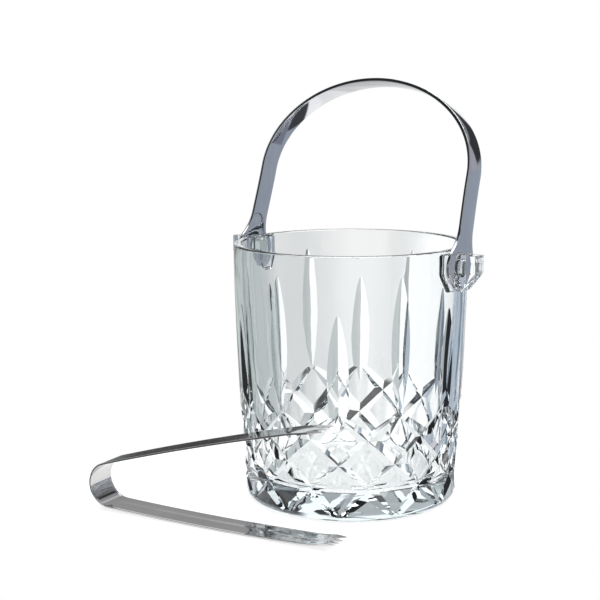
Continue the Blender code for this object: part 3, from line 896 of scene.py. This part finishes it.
def make_floor():
    """A round pale light table: it glows faintly from below, so that shadows on it stay weak."""
    middle_x, middle_y = FLOOR_CENTRE
    points = [(middle_x, middle_y, -FLOOR_DROP)]
    faces = []
    for step in range(FLOOR_SIDES):
        angle = 2.0 * math.pi * step / FLOOR_SIDES
        edge_x = middle_x + FLOOR_RADIUS * math.cos(angle)
        points.append((edge_x, middle_y + FLOOR_RADIUS * math.sin(angle), -FLOOR_DROP))
        faces.append((0, 1 + step, 1 + (step + 1) % FLOOR_SIDES))
    floor = mesh_object("studio_floor", points, faces)
    material, nodes, shader = new_material("pale_floor")
    grain = nodes.add("ShaderNodeTexNoise", {"Scale": FLOOR_GRAIN_SCALE})
    tone = nodes.add("ShaderNodeValToRGB", {"Fac": grain.outputs["Fac"]})
    tone.color_ramp.elements[0].color = FLOOR_TONE_LOW
    tone.color_ramp.elements[1].color = FLOOR_TONE_HIGH
    nodes.tree.links.new(tone.outputs["Color"], shader.inputs["Base Color"])
    shader.inputs["Roughness"].default_value = FLOOR_ROUGHNESS
    shader.inputs["Specular IOR Level"].default_value = 0.0
    nodes.tree.links.new(tone.outputs["Color"], shader.inputs["Emission Color"])
    shader.inputs["Emission Strength"].default_value = FLOOR_GLOW
    floor.data.materials.append(material)
    return floor


def add_panel(nodes, heading, rise, across, height, soft, colour, total):
    """Adds a soft-edged light panel to the world's colour.

    heading and rise are sockets with a direction's compass turn and elevation in degrees.
    across and height are the panel's (low, high) limits on them.
    """
    mask = None
    for value, (low, high) in ((heading, across), (rise, height)):
        start = nodes.add("ShaderNodeMapRange", {
            "Value": value, "From Min": low - soft, "From Max": low + soft},
            {"interpolation_type": "SMOOTHSTEP"})
        stop = nodes.add("ShaderNodeMapRange", {
            "Value": value, "From Min": high - soft, "From Max": high + soft,
            "To Min": 1.0, "To Max": 0.0}, {"interpolation_type": "SMOOTHSTEP"})
        band = nodes.math("MULTIPLY", start.outputs["Result"], stop.outputs["Result"])
        mask = band if mask is None else nodes.math("MULTIPLY", mask, band)
    mix = nodes.add("ShaderNodeMix", settings={"data_type": "RGBA"})
    nodes.tree.links.new(mask, mix.inputs[0])
    nodes.tree.links.new(total, mix.inputs[6])
    mix.inputs[7].default_value = tuple(colour) + (1.0,)
    return mix.outputs[2]


# Each panel: compass turn from the view's heading (low, high), elevation (low, high),
# softness of its edges, all in degrees, and its colour. Later panels lie over earlier ones.
ROOM_COLOUR = (0.42, 0.45, 0.47)
PANELS = (
    # Below the horizon, from the left round to the right.
    ((-112.0, -36.0), (-95.0, 3.0), 3.0, (0.33, 0.38, 0.38)),
    ((-36.0, -20.0), (-95.0, 3.0), 2.0, (0.58, 0.63, 0.63)),
    ((-20.0, -6.5), (-95.0, 3.0), 2.0, (0.54, 0.57, 0.57)),
    ((-6.5, 0.0), (-95.0, 3.0), 2.5, (0.78, 0.78, 0.78)),
    ((0.0, 6.0), (-95.0, 3.0), 2.5, (0.92, 0.92, 0.92)),
    ((6.0, 26.0), (-95.0, 3.0), 2.0, (1.15, 1.15, 1.15)),
    ((26.0, 60.0), (-95.0, 3.0), 2.0, (0.42, 0.49, 0.57)),
    ((29.0, 34.0), (-30.0, -7.0), 1.0, (0.12, 0.16, 0.21)),
    ((60.0, 135.0), (-95.0, 3.0), 2.0, (0.42, 0.46, 0.54)),
    ((22.0, 40.0), (-95.0, -42.0), 3.0, (1.30, 1.30, 1.30)),
    ((40.0, 71.0), (-95.0, -44.0), 1.5, (0.07, 0.07, 0.08)),
    ((71.0, 95.0), (-50.0, -30.0), 1.5, (0.26, 0.27, 0.34)),
    # Behind the camera.
    ((135.0, 200.0), (-95.0, -4.0), 5.0, (0.85, 0.85, 0.85)),
    ((-200.0, -135.0), (-95.0, -4.0), 5.0, (0.85, 0.85, 0.85)),
    ((-135.0, -110.0), (-95.0, 3.0), 3.0, (0.12, 0.12, 0.13)),
    # Above the horizon, ahead.
    ((-40.0, 14.0), (17.0, 50.0), 3.0, (0.42, 0.42, 0.42)),
    ((14.0, 26.0), (30.0, 52.0), 2.0, (0.70, 0.70, 0.72)),
    ((26.0, 40.0), (30.0, 52.0), 2.0, (0.40, 0.40, 0.43)),
    ((40.0, 52.0), (24.0, 50.0), 2.0, (0.05, 0.05, 0.05)),
    ((-22.0, 19.0), (1.0, 14.0), 2.0, (1.10, 1.10, 1.10)),
    ((21.0, 60.0), (5.0, 21.0), 2.0, (0.05, 0.05, 0.055)),
    ((61.0, 78.0), (1.0, 26.0), 2.0, (0.50, 0.49, 0.56)),
    ((-12.0, -2.5), (-6.0, 1.5), 0.8, (0.06, 0.06, 0.06)),
    # To the left, and overhead.
    ((-114.0, -92.0), (13.0, 32.0), 3.0, (0.03, 0.03, 0.03)),
    ((-200.0, 200.0), (52.0, 95.0), 2.0, (2.6, 2.6, 2.6)),
    ((-120.0, -86.0), (30.0, 82.0), 2.0, (0.03, 0.03, 0.03)),
)


def make_world():
    """A grey room with light and dark panels around the table, and a white page behind it."""
    world = bpy.data.worlds.new("studio")
    bpy.context.scene.world = world
    world.use_nodes = True
    nodes = Nodes(world.node_tree)
    background = world.node_tree.nodes["Background"]
    place = nodes.add("ShaderNodeTexCoord")
    spun = nodes.add("ShaderNodeVectorRotate", {
        "Vector": place.outputs["Generated"], "Angle": -VIEW_HEADING},
        {"rotation_type": "Z_AXIS"})
    parts = nodes.add("ShaderNodeSeparateXYZ", {"Vector": spun.outputs["Vector"]})
    turn = nodes.math("ARCTAN2", parts.outputs["X"], parts.outputs["Y"])
    heading = nodes.math("MULTIPLY", turn, 180.0 / math.pi)
    lift = nodes.math("ARCSINE", parts.outputs["Z"])
    rise = nodes.math("MULTIPLY", lift, 180.0 / math.pi)
    total = nodes.add("ShaderNodeRGB").outputs[0]
    total.default_value = ROOM_COLOUR + (1.0,)
    for across, height, soft, colour in PANELS:
        total = add_panel(nodes, heading, rise, across, height, soft, colour, total)
    path = nodes.add("ShaderNodeLightPath")
    page = nodes.add("ShaderNodeMix", settings={"data_type": "RGBA"})
    nodes.tree.links.new(path.outputs["Is Camera Ray"], page.inputs[0])
    nodes.tree.links.new(total, page.inputs[6])
    page.inputs[7].default_value = PAGE_COLOUR
    nodes.tree.links.new(page.outputs[2], background.inputs["Color"])
    background.inputs["Strength"].default_value = 1.0


def make_camera():
    data = bpy.data.cameras.new("camera")
    data.lens = CAMERA_LENS
    data.sensor_width = SENSOR_WIDTH
    data.clip_start = CAMERA_NEAR
    camera = bpy.data.objects.new("camera", data)
    bpy.context.scene.collection.objects.link(camera)
    flat = math.cos(CAMERA_PITCH)
    ahead = Vector((-math.sin(VIEW_HEADING) * flat, math.cos(VIEW_HEADING) * flat, -math.sin(CAMERA_PITCH)))
    right = Vector((math.cos(VIEW_HEADING), math.sin(VIEW_HEADING), 0.0))
    up = right.cross(ahead)
    turned_right = right * math.cos(CAMERA_ROLL) - up * math.sin(CAMERA_ROLL)
    turned_up = right * math.sin(CAMERA_ROLL) + up * math.cos(CAMERA_ROLL)
    matrix = Matrix((turned_right, turned_up, -ahead)).transposed().to_4x4()
    matrix.translation = Vector((
        math.sin(CAMERA_AZIMUTH) * CAMERA_DISTANCE,
        -math.cos(CAMERA_AZIMUTH) * CAMERA_DISTANCE,
        CAMERA_HEIGHT))
    camera.matrix_world = matrix
    bpy.context.scene.camera = camera


def make_light():
    """One large soft lamp over the table."""
    data = bpy.data.lights.new("overhead_softbox", "AREA")
    data.shape = "RECTANGLE"
    data.size = LAMP_SIZE
    data.size_y = LAMP_SIZE
    data.energy = LAMP_POWER
    lamp = bpy.data.objects.new("overhead_softbox", data)
    bpy.context.scene.collection.objects.link(lamp)
    lamp.location = LAMP_PLACE


# ------------------------------------------------------------------ assembly

def finish_piece(piece, material, body, slot, *nodes):
    piece.data.materials.clear()
    piece.data.materials.append(material)
    if body:
        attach(piece, body)
    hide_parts(*nodes)


def build():
    glass = make_glass()
    finish_piece(glass, glass_material(), "bucket", "clear_glass", "glass_bucket")
    handle = make_handle()
    handle_steel = steel_material(
        "polished_handle_steel", HANDLE_COLOUR, HANDLE_ROUGHNESS,
        HANDLE_GRAIN_SIZE, 0.0, HANDLE_GRAIN_DEPTH)
    finish_piece(handle, handle_steel, "handle", "handle_steel", "bail_handle")
    tongs_steel = steel_material(
        "grained_tongs_steel", TONGS_COLOUR, TONGS_ROUGHNESS,
        TONGS_GRAIN_SIZE, TONGS_HEADING, TONGS_GRAIN_DEPTH)
    upper = make_tongs_half("tongs_upper_half", 1)
    lower = make_tongs_half("tongs_lower_half", -1)
    finish_piece(upper, tongs_steel, None, "tongs_steel", "tongs_upper_arm", "tongs_bow")
    finish_piece(lower, tongs_steel, None, "tongs_steel", "tongs_lower_arm", "tongs_bow")
    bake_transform(upper)
    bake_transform(lower)
    make_floor()
    make_world()
    make_light()
    make_camera()
    scene = bpy.context.scene
    scene.view_settings.view_transform = "Standard"
    scene.cycles.max_bounces = LIGHT_BOUNCES
    scene.cycles.transmission_bounces = LIGHT_BOUNCES


build()
